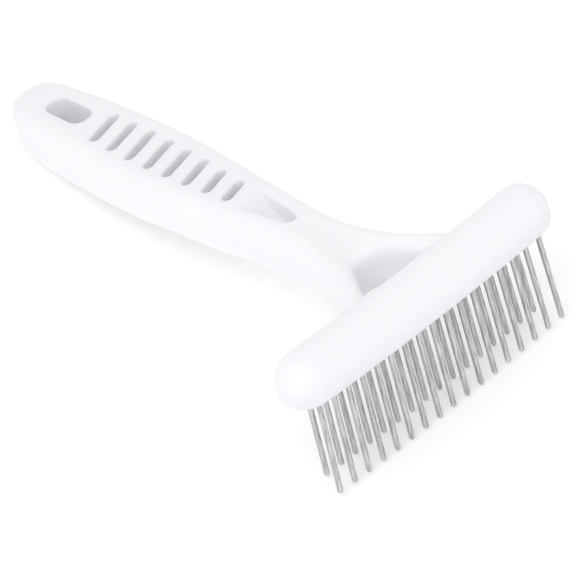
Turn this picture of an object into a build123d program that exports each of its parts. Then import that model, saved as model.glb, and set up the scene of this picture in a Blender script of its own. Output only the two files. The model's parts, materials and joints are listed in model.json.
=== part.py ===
"""Undercoat rake: one moulded handle and head, a pin plate and two rows of turning pins.

The rake is drawn level first.  X runs along the head, Y from the head to the
end of the handle and Z up, with the middle pin tips on z = 0 and the centre
line of the head over y = 0.  The last step lays it down as it rests on a
table, on its back row of pins and on the end of its handle.
"""
import os
from math import asin, atan2, cos, degrees, hypot, radians, sin, sqrt, tan

from build123d import *

# ---------------------------------------------------------------- pins
pin_diameter = 1.6
pin_pitch = 5.5              # along a row, at the tips
front_pin_count = 17
back_pin_count = 16          # set half a pitch off the front row
row_gap = 8.9                # between the two rows
fan_radius = 900.0           # every pin points at a line this far above the tips
pin_head_diameter = 2.8
pin_head_thickness = 1.0
pin_clearance = 0.05         # radial, round each pin in its bore
head_clearance = 0.10        # radial, round each head in its counterbore
pin_end_play = 0.06          # over and under each pin head

# ---------------------------------------------------------------- head bar
bar_height = 38.7            # of the bar's centre line above the pin tips
bar_top_radius = 8.4
bar_depth = 6.2              # from the centre line to the flat underside
bar_corner = 3.8             # radius of the two lower edges
bar_half_length = 41.6       # to the centres of the round ends
plate_thickness = 5.6
plate_half_width = 6.7
plate_gap = 0.05             # all round the plate's rim

# ---------------------------------------------------------------- handle
top_height = 43.8            # of the handle's top face at the first slot
top_slope = -0.035           # rise of the top face per mm towards the handle's end
under_height = 25.8          # of the underside below the first slot
under_slope = -0.056
under_rise_y = 19.0          # the underside curves up from here to meet the bar
under_foot_height = 37.0     # inside the bar
handle_edge = 4.6            # radius of the long edges
end_y = 183.5                # tip of the handle at its top edge
wall_lean = 0.085            # the side walls shift back by this share of their depth
shoulder_half_width, shoulder_y = 10.4, 172.5
shoulder_lean = 6.0
belly_half_width, belly_y = 13.4, 121.0
neck_half_width, neck_y = 8.8, 43.0
arm_half_width, arm_y = 21.8, 6.3
arm_lean = 37.0              # the arms' outer sides off the handle's line, at the bar
end_hold = 7.6               # how far the side curve holds its direction at each place
shoulder_hold = 5.6
belly_hold = 17.0
waist_hold = 24.0
neck_hold = 17.0
arm_hold = 13.0
foot_y = -1.0                # the arms end inside the bar
foot_margin = 1.5            # edges this near the arms' feet stay sharp
valley_radius = 16.0         # of the hollow in the top face between the arms
valley_start_y = 48.0
valley_depth = 1.8           # at the fork's rim
valley_edge = 3.0

# ---------------------------------------------------------------- openings
fork_apex_y = 21.3
fork_apex_half_width = 3.6
fork_base_half_width = 15.5
fork_apex_radius = 5.8
fork_top_edge = 3.4          # radius of the opening's upper rim
fork_low_edge = 3.8
first_slot_y = 77.9          # the slot nearest the head
slot_count = 8
slot_pitch = 8.98
slot_width = 3.4
slot_angle = 17.0            # off square to the handle
slot_margin = 6.3            # from a slot's ends to the handle's sides
rim_radius = 0.4             # of the slots' and the hang hole's rims
hang_hole_y = 159.0
hang_hole_width = 7.9
hang_hole_length = 18.6
recess_back_y = 71.0
recess_back_half_width = 4.6
recess_skew = 11.0           # of the recess's back edge off square
recess_tip_y = 52.2
recess_tip_radius = 2.2
recess_depth = 6.5

# ---------------------------------------------------------------- cutting shapes
overrun = 10.0               # how far they reach past what they cut
cut_height = 80.0            # taller than the whole rake
cut_reach = 60.0             # further across than the handle is wide
wall_steepness = 0.6         # edges that climb more than this run down a wall
bisections = 40

stand = (Align.CENTER, Align.CENTER, Align.MIN)
fan_axis = Axis((0, 0, fan_radius), (0, 1, 0))
pocket_ceiling = plate_thickness - bar_depth      # from the bar's centre line
below_bar = -2 * bar_depth                        # well under it, from the same line


def top_z(y):
    return top_height + top_slope * (y - first_slot_y)


def under_z(y):
    return under_height + under_slope * (y - first_slot_y)


# ---------------------------------------------------------------- handle
def smooth_run(start, start_lean, start_pull, end, end_lean, end_pull):
    """A cubic run towards the head, leaving and arriving at the given leans outwards."""
    out, back = radians(start_lean), radians(end_lean)
    return Bezier(
        start,
        (start[0] + start_pull * sin(out), start[1] - start_pull * cos(out)),
        (end[0] - end_pull * sin(back), end[1] + end_pull * cos(back)),
        end)


shoulder = (shoulder_half_width, shoulder_y)
belly = (belly_half_width, belly_y)
neck = (neck_half_width, neck_y)
side_curve = Wire([
    smooth_run((0, end_y), 90, end_hold, shoulder, shoulder_lean, shoulder_hold),
    smooth_run(shoulder, shoulder_lean, belly_hold, belly, 0, belly_hold),
    smooth_run(belly, 0, waist_hold, neck, 0, neck_hold),
    smooth_run(neck, 0, arm_hold, (arm_half_width, arm_y), arm_lean, arm_hold),
])


def half_width(y):
    """Half the handle's width at y, found along its side curve."""
    low, high = 0.0, 1.0
    for _ in range(bisections):
        middle = (low + high) / 2
        point = side_curve @ middle
        low, high = (middle, high) if point.Y > y else (low, middle)
    return point.X


def crosswise(edges):
    """The edges that run along or across the handle rather than down its walls."""
    return [edge for edge in edges if abs(edge.tangent_at(0.5).Z) < wall_steepness]


def make_handle_blank():
    """The handle's plan and side outlines, crossed, with every long edge rounded."""
    far_y = end_y + overrun
    closing = Polyline((arm_half_width, arm_y), (arm_half_width, foot_y), (0, foot_y))
    half = side_curve.edges() + closing.edges()
    outline = half + [mirror(edge, about=Plane.YZ) for edge in half]
    top_of_end = top_z(end_y)
    footprint = Pos(0, wall_lean * top_of_end) * make_face(outline)
    plan = extrude(footprint, cut_height, dir=(0, -wall_lean, 1))
    straight = Line((far_y, under_z(far_y)), (under_rise_y, under_z(under_rise_y)))
    rise = TangentArc(straight @ 1, (foot_y, under_foot_height), tangent=straight % 1)
    rest = Polyline(
        rise @ 1, (foot_y, top_z(foot_y)), (far_y, top_z(far_y)), straight @ 0)
    side = Plane.YZ * make_face([straight, rise, *rest.edges()])
    blank = plan & extrude(side, cut_reach, both=True)
    long_edges = [edge for edge in crosswise(blank.edges())
                  if edge.bounding_box().max.Y > arm_y + handle_edge]
    return fillet(long_edges, handle_edge)


def make_valley():
    """A gently sloping cylinder that hollows the top face between the arms."""
    run = valley_start_y - fork_apex_y
    slope = degrees(atan2(valley_depth + top_slope * run, run))
    start = Pos(0, valley_start_y, top_z(valley_start_y) + valley_radius)
    axis_back = Rot(90 + slope, 0, 0)
    return start * axis_back * Cylinder(valley_radius, 4 * run)


def make_fork_opening():
    """The rounded triangle between the two arms."""
    outline = Polyline(
        (-fork_base_half_width, 0), (-fork_apex_half_width, fork_apex_y),
        (fork_apex_half_width, fork_apex_y), (fork_base_half_width, 0), close=True)
    face = make_face(outline)
    apex = face.vertices().sort_by(Axis.Y)[-2:]
    return extrude(fillet(apex, fork_apex_radius), cut_height)


def make_slot(y):
    reach = half_width(y) - slot_margin
    face = SlotOverall(2 * reach / cos(radians(slot_angle)), slot_width, rotation=slot_angle)
    return extrude(Pos(0, y) * face, cut_height)


def make_hang_hole():
    face = SlotOverall(hang_hole_length, hang_hole_width, rotation=90)
    return extrude(Pos(0, hang_hole_y) * face, cut_height)


def all_above(y, depth, fall_x, fall_y):
    """All that lies above a plane: depth under the top face at y, falling per mm of X and Y."""
    plane = Plane((0, y, top_z(y) - depth), z_dir=(fall_x, fall_y, 1))
    return extrude(plane * Rectangle(cut_height, cut_height), cut_height)


def make_recess():
    """The blind drop-shaped recess, with a ramp down from its square end."""
    tip = Pos(0, recess_tip_y) * Circle(recess_tip_radius)
    half = recess_back_half_width
    skew = half * tan(radians(recess_skew))
    body = make_face(Polyline(
        (-half, recess_back_y - skew), (half, recess_back_y + skew),
        (recess_tip_radius, recess_tip_y), (-recess_tip_radius, recess_tip_y), close=True))
    plan = extrude(body + tip, cut_height)
    ramp = all_above(recess_back_y, 0, tan(radians(recess_skew)), -1)
    floor = all_above(recess_tip_y, recess_depth, 0, -top_slope)
    return plan & ramp & floor


# ---------------------------------------------------------------- head bar
def fan_turn(x):
    """Turn about the fan's axis, in degrees, that carries the middle of a row to x."""
    return -degrees(x / fan_radius)


def make_arched(half_section):
    """An arched bar with round ends from the right half of its cross-section."""
    whole = half_section + mirror(half_section, about=Plane.YZ)
    across = Plane((0, 0, bar_height), x_dir=(0, 1, 0), z_dir=(1, 0, 0))
    along = Plane((0, 0, bar_height), x_dir=(1, 0, 0), z_dir=(0, -1, 0))
    turn = degrees(bar_half_length / (fan_radius - bar_height))
    middle = revolve(across * whole, fan_axis, 2 * turn).rotate(fan_axis, -turn)
    end = revolve(along * half_section, Axis((0, 0, bar_height), (0, 0, 1)), 360)
    return middle + end.rotate(fan_axis, turn) + end.rotate(fan_axis, -turn)


def make_bar():
    """Round on top, flat underneath."""
    r, corner = bar_top_radius, bar_corner
    half_section = make_face([
        CenterArc((0, 0), r, 0, 90),
        Line((0, r), (0, -bar_depth)),
        Line((0, -bar_depth), (r - corner, -bar_depth)),
        CenterArc((r - corner, corner - bar_depth), corner, -90, 90),
        Line((r, corner - bar_depth), (r, 0)),
    ])
    return make_arched(half_section)


def make_plate_space(gap):
    """The space under the pocket's ceiling, wider than the plate by a gap all round."""
    width, height = plate_half_width + gap, pocket_ceiling - below_bar
    half_section = Pos(width / 2, pocket_ceiling - height / 2) * Rectangle(width, height)
    return make_arched(half_section)


# ---------------------------------------------------------------- pins
ceiling_z = bar_height + pocket_ceiling
head_top = ceiling_z - pin_end_play
head_bottom = head_top - pin_head_thickness
counterbore_floor = head_bottom - pin_end_play


def make_pin():
    """Round wire with a rounded tip and a flat formed head, standing on its tip."""
    r = pin_diameter / 2
    half_section = make_face([
        CenterArc((0, r), r, -90, 90),
        Line((r, r), (r, head_bottom)),
        Line((r, head_bottom), (pin_head_diameter / 2, head_bottom)),
        Line((pin_head_diameter / 2, head_bottom), (pin_head_diameter / 2, head_top)),
        Line((pin_head_diameter / 2, head_top), (0, head_top)),
        Line((0, head_top), (0, 0)),
    ])
    return revolve(Plane.XZ * half_section, Axis.Z, 360)


def make_pin_bore():
    """The bore and the counterbore of one pin."""
    bore_radius = pin_diameter / 2 + pin_clearance
    head_radius = pin_head_diameter / 2 + head_clearance
    low = bar_height + below_bar
    bore = Pos(0, 0, low) * Cylinder(bore_radius, ceiling_z + overrun - low, align=stand)
    return bore + Pos(0, 0, counterbore_floor) * Cylinder(head_radius, overrun, align=stand)


def row_places(count, y):
    """The row's offset and the fan turn of each of its pins, from left to right."""
    return [(Pos(0, y), fan_turn((k - (count - 1) / 2) * pin_pitch)) for k in range(count)]


def in_place(shape, place):
    offset, turn = place
    return (offset * shape).rotate(fan_axis, turn)


front_places = row_places(front_pin_count, -row_gap / 2)
back_places = row_places(back_pin_count, row_gap / 2)


# ---------------------------------------------------------------- assembly
def make_handle():
    blank = make_handle_blank()
    valley = make_valley()
    hollowed = blank - valley
    valley_rim = [edge for edge in new_edges(blank, valley, combined=hollowed)
                  if edge.center().Y > foot_y + foot_margin]
    hollowed = fillet(valley_rim, valley_edge)

    opening = make_fork_opening()
    forked = hollowed - opening
    for low, high, radius in (
            (0, bar_height, fork_low_edge), (bar_height, cut_height, fork_top_edge)):
        rim = [edge for edge in crosswise(new_edges(hollowed, opening, combined=forked))
               if edge.center().Y > foot_y + foot_margin and low < edge.center().Z < high]
        forked = fillet(rim, radius)

    slots = [make_slot(first_slot_y + k * slot_pitch) for k in range(slot_count)]
    cutters = slots + [make_hang_hole()]
    pierced = forked - cutters
    pierced = fillet(crosswise(new_edges(forked, *cutters, combined=pierced)), rim_radius)
    pierced -= make_recess()
    return pierced + make_bar() - make_plate_space(plate_gap)


def make_plate():
    plate = make_bar() & make_plate_space(0)
    bore = make_pin_bore()
    return plate - [in_place(bore, place) for place in front_places + back_places]


parts = {"handle": make_handle(), "pin_plate": make_plate()}
pin = make_pin()
for row, places in (("front", front_places), ("back", back_places)):
    for number, place in enumerate(places, start=1):
        parts[f"pin_{row}_{number:02d}"] = in_place(pin, place)

# It rests on the back row of pins and on the lower edge of the handle's end: the
# table touches the pins' rounded tips and the rounded edge of the end from below.
tip_radius = pin_diameter / 2
tip_centre = (row_gap / 2, tip_radius)
wall_line = end_y + wall_lean * top_z(end_y) - handle_edge * sqrt(1 + wall_lean ** 2)
under_line = under_z(0) + handle_edge * sqrt(1 + under_slope ** 2)
edge_y = (wall_line - wall_lean * under_line) / (1 + wall_lean * under_slope)
edge_centre = (edge_y, under_slope * edge_y + under_line)
reach_y = edge_centre[0] - tip_centre[0]
reach_z = edge_centre[1] - tip_centre[1]
lean = atan2(reach_z, reach_y) - asin((handle_edge - tip_radius) / hypot(reach_y, reach_z))
laid = Rot(-degrees(lean), 0, 0)
extent = (laid * Compound(list(parts.values()))).bounding_box()
rest = Pos(-extent.center().X, -extent.center().Y, -extent.min.Z) * laid

os.makedirs("parts", exist_ok=True)
for name, shape in parts.items():
    export_step(rest * shape, f"parts/{name}.step")
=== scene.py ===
"""Undercoat rake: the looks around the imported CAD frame.

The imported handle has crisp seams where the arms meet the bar.  A moulding has
none, so its skin is remeshed and relaxed here.  The pins and their plate keep
their CAD shape.  Everything gets a procedural material.
"""
import json
import math

import bpy
from mathutils import Matrix, Vector


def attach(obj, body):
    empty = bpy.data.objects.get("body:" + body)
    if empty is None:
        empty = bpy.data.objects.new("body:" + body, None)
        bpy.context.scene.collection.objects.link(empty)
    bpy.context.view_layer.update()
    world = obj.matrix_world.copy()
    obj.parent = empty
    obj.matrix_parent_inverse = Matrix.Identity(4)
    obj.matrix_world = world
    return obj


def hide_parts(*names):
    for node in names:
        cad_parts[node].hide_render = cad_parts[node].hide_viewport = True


MM = 0.001

# The camera, in the head's own axes: X along the head, Z up along its middle pin,
# from the tip of that pin.  It looks down the handle from beyond the head's left end.
MIDDLE_PIN = "front_09"
CAMERA_AZIMUTH = 30.82        # degrees from +Y towards +X
CAMERA_DOWN = 37.53
CAMERA_ROLL = 17.05
CAMERA_DISTANCE = 984 * MM
CAMERA_AIM = Vector((-11.8, 48.9, 30.0)) * MM
CAMERA_REACH = 20.0           # metres
LENS, SENSOR = 215.2, 36.0

# The handle's skin: relaxed a little all over, and more round the fork.
VOXEL = 0.5 * MM
RELAX_SHARE = 0.5             # of the way to its neighbours' middle, at each step
RELAX_STEPS = 4
FORK_STEPS = 80
FORK_NEAR, FORK_FAR = 8 * MM, 20 * MM     # the extra relaxing fades out between these

# The studio: a pale floor under an even sky, and one soft box.
FLOOR_SIZE = 6.0
FLOOR_GLOW = 0.18
SKY_COLOUR, SKY_STRENGTH = (0.985, 0.99, 1.0, 1), 0.82
KEY_TOWARDS = (-0.40, -0.34, 0.85)
KEY_SIZE, KEY_DISTANCE, KEY_POWER = 1.0, 1.6, 6.2

NOISE_LOW, NOISE_HIGH = 0.3, 0.7          # a noise seldom leaves this range


# ---------------------------------------------------------------- materials
def new_material(name):
    material = bpy.data.materials.new(name)
    material.use_nodes = True
    nodes, links = material.node_tree.nodes, material.node_tree.links
    return material, nodes, links, nodes["Principled BSDF"]


def add_noise(nodes, links, scale, detail=3.0, stretch=(1, 1, 1)):
    """A 3-D noise in the row frame; scale is in features per metre."""
    place = nodes.new("ShaderNodeTexCoord")
    mapping = nodes.new("ShaderNodeMapping")
    mapping.inputs["Scale"].default_value = stretch
    noise = nodes.new("ShaderNodeTexNoise")
    noise.inputs["Scale"].default_value = scale
    noise.inputs["Detail"].default_value = detail
    links.new(place.outputs["Object"], mapping.inputs["Vector"])
    links.new(mapping.outputs["Vector"], noise.inputs["Vector"])
    return noise.outputs["Fac"]


def add_ramp(nodes, links, factor, low, high):
    """Maps a noise onto a range of colours or grey values."""
    ramp = nodes.new("ShaderNodeValToRGB")
    first, last = ramp.color_ramp.elements
    first.position, first.color = NOISE_LOW, low
    last.position, last.color = NOISE_HIGH, high
    links.new(factor, ramp.inputs["Fac"])
    return ramp.outputs["Color"]


def grey(value):
    return (value, value, value, 1.0)


def add_bump(nodes, links, shader, height, distance, strength):
    bump = nodes.new("ShaderNodeBump")
    bump.inputs["Strength"].default_value = strength
    bump.inputs["Distance"].default_value = distance
    links.new(height, bump.inputs["Height"])
    links.new(bump.outputs["Normal"], shader.inputs["Normal"])


def white_plastic():
    """Moulded plastic: nearly even white, slightly milky, a soft gloss, a faint grain."""
    material, nodes, links, shader = new_material("white_plastic")
    flow = add_noise(nodes, links, scale=35, detail=2)
    tint = add_ramp(nodes, links, flow, low=(0.897, 0.905, 0.928, 1), high=(0.914, 0.922, 0.944, 1))
    links.new(tint, shader.inputs["Base Color"])
    grain = add_noise(nodes, links, scale=1800, detail=4)
    gloss = add_ramp(nodes, links, grain, low=grey(0.36), high=grey(0.44))
    links.new(gloss, shader.inputs["Roughness"])
    add_bump(nodes, links, shader, grain, distance=0.02 * MM, strength=0.25)
    shader.inputs["IOR"].default_value = 1.49
    shader.inputs["Subsurface Weight"].default_value = 0.4
    shader.inputs["Subsurface Radius"].default_value = (1.0, 0.95, 0.9)
    shader.inputs["Subsurface Scale"].default_value = 5 * MM
    return material


def drawn_steel():
    """Drawn wire: fine darker lines along the pin, a little uneven in gloss."""
    material, nodes, links, shader = new_material("drawn_steel")
    lines = add_noise(nodes, links, scale=1500, detail=2, stretch=(1, 1, 0.012))
    tint = add_ramp(nodes, links, lines, low=(0.40, 0.40, 0.41, 1), high=(0.72, 0.72, 0.73, 1))
    links.new(tint, shader.inputs["Base Color"])
    gloss = add_ramp(nodes, links, lines, low=grey(0.22), high=grey(0.38))
    links.new(gloss, shader.inputs["Roughness"])
    add_bump(nodes, links, shader, lines, distance=0.01 * MM, strength=0.5)
    shader.inputs["Metallic"].default_value = 1.0
    shader.inputs["Specular Tint"].default_value = grey(0.3)
    return material


def pale_floor():
    material, nodes, links, shader = new_material("pale_floor")
    cloud = add_noise(nodes, links, scale=3, detail=2)
    tint = add_ramp(nodes, links, cloud, low=grey(0.90), high=grey(0.91))
    links.new(tint, shader.inputs["Base Color"])
    shader.inputs["Roughness"].default_value = 0.9
    shader.inputs["Emission Color"].default_value = grey(1)
    shader.inputs["Emission Strength"].default_value = FLOOR_GLOW
    return material


def dress(piece, material):
    piece.data.materials.clear()
    piece.data.materials.append(material)


# ---------------------------------------------------------------- pieces
def apply_modifiers(piece):
    """Replaces a piece's mesh with what its modifiers make of it."""
    evaluated = piece.evaluated_get(bpy.context.evaluated_depsgraph_get())
    result = bpy.data.meshes.new_from_object(evaluated)
    piece.modifiers.clear()
    piece.data = result


def add_relax(piece, steps, group=""):
    relax = piece.modifiers.new("relax", "SMOOTH")
    relax.factor = RELAX_SHARE
    relax.iterations = steps
    relax.vertex_group = group


def fork_web(record):
    """The middle of the web where the fork's arms meet, from the stated opening beside it."""
    for opening in record["physics"]["openings"]:
        if opening["name"] == "fork_opening_apex":
            low, high = (Vector(corner) for corner in opening["box_m"])
            return Vector((0, high.y, (low.z + high.z) / 2))


def fork_share(place, web):
    """1 near the web and 0 far from it, with a smooth step between."""
    away = (place - web).length
    share = min(max((FORK_FAR - away) / (FORK_FAR - FORK_NEAR), 0), 1)
    return share * share * (3 - 2 * share)


def moulded_skin(node, web):
    """One continuous skin over a CAD node, with its creases relaxed into soft blends."""
    skin = bpy.data.objects.new("moulded_" + node.name, node.data.copy())
    bpy.context.scene.collection.objects.link(skin)
    remesh = skin.modifiers.new("remesh", "REMESH")
    remesh.mode = "VOXEL"
    remesh.voxel_size = VOXEL
    add_relax(skin, RELAX_STEPS)
    apply_modifiers(skin)

    group = skin.vertex_groups.new(name="fork")
    for vertex in skin.data.vertices:
        share = fork_share(vertex.co, web)
        if share > 0:
            group.add([vertex.index], share, "REPLACE")
    add_relax(skin, FORK_STEPS, "fork")
    apply_modifiers(skin)
    skin.data.shade_smooth()
    return skin


# ---------------------------------------------------------------- studio
def make_floor():
    bpy.ops.mesh.primitive_plane_add(size=FLOOR_SIZE, location=(0, 0, 0))
    floor = bpy.context.object
    floor.name = "floor"
    dress(floor, pale_floor())


def make_sky():
    world = bpy.data.worlds.new("studio")
    bpy.context.scene.world = world
    world.use_nodes = True
    background = world.node_tree.nodes["Background"]
    background.inputs["Color"].default_value = SKY_COLOUR
    background.inputs["Strength"].default_value = SKY_STRENGTH


def make_key_light():
    """A square soft box that faces the rake."""
    data = bpy.data.lights.new("key", "AREA")
    data.size = KEY_SIZE
    data.energy = KEY_POWER
    light = bpy.data.objects.new("key", data)
    bpy.context.scene.collection.objects.link(light)
    towards = Vector(KEY_TOWARDS).normalized()
    light.location = KEY_DISTANCE * towards
    light.rotation_euler = towards.to_track_quat("Z", "Y").to_euler()


def head_axes(frame):
    """The turn and the place of the head's own axes in the row frame."""
    joint = next(joint for joint in frame["joints"] if joint["name"] == "spin_" + MIDDLE_PIN)
    place, up = Vector(joint["pos_m"]), Vector(joint["axis"]).normalized()
    pin = frame["nodes"]["pin_" + MIDDLE_PIN]
    lowest = min((vertex.co - place).dot(up) for vertex in pin.data.vertices)
    along = Vector((1, 0, 0))
    turn = Matrix((along, up.cross(along), up)).transposed()
    return turn, place + lowest * up


def make_camera(frame):
    azimuth, down = math.radians(CAMERA_AZIMUTH), math.radians(CAMERA_DOWN)
    roll = math.radians(CAMERA_ROLL)
    flat = math.cos(down)
    look = Vector((flat * math.sin(azimuth), flat * math.cos(azimuth), -math.sin(down)))
    level = look.to_track_quat("-Z", "Y").to_matrix()
    head, tip = head_axes(frame)
    turned = head @ level @ Matrix.Rotation(-roll, 3, "Z")
    place = tip + head @ (CAMERA_AIM - CAMERA_DISTANCE * look)

    data = bpy.data.cameras.new("camera")
    data.lens = LENS
    data.sensor_width = SENSOR
    data.clip_end = CAMERA_REACH
    camera = bpy.data.objects.new("camera", data)
    bpy.context.scene.collection.objects.link(camera)
    camera.matrix_world = Matrix.Translation(place) @ turned.to_4x4()
    bpy.context.scene.camera = camera


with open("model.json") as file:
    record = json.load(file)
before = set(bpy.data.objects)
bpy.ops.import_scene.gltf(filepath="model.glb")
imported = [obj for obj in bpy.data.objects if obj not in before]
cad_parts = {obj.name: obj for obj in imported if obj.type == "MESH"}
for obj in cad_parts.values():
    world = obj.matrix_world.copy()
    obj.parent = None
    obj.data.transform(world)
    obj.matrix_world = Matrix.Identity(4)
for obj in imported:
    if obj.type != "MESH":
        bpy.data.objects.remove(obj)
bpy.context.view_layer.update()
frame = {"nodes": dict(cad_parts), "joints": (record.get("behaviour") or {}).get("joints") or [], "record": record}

plastic = white_plastic()
handle = moulded_skin(frame["nodes"]["handle"], fork_web(frame["record"]))
dress(handle, plastic)
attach(handle, "rake_body")
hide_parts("handle")
dress(frame["nodes"]["pin_plate"], plastic)
steel = drawn_steel()
for name, node in frame["nodes"].items():
    if name.startswith(("pin_front", "pin_back")):
        dress(node, steel)

make_floor()
make_sky()
make_key_light()
make_camera(frame)
bpy.context.scene.view_settings.view_transform = "Standard"
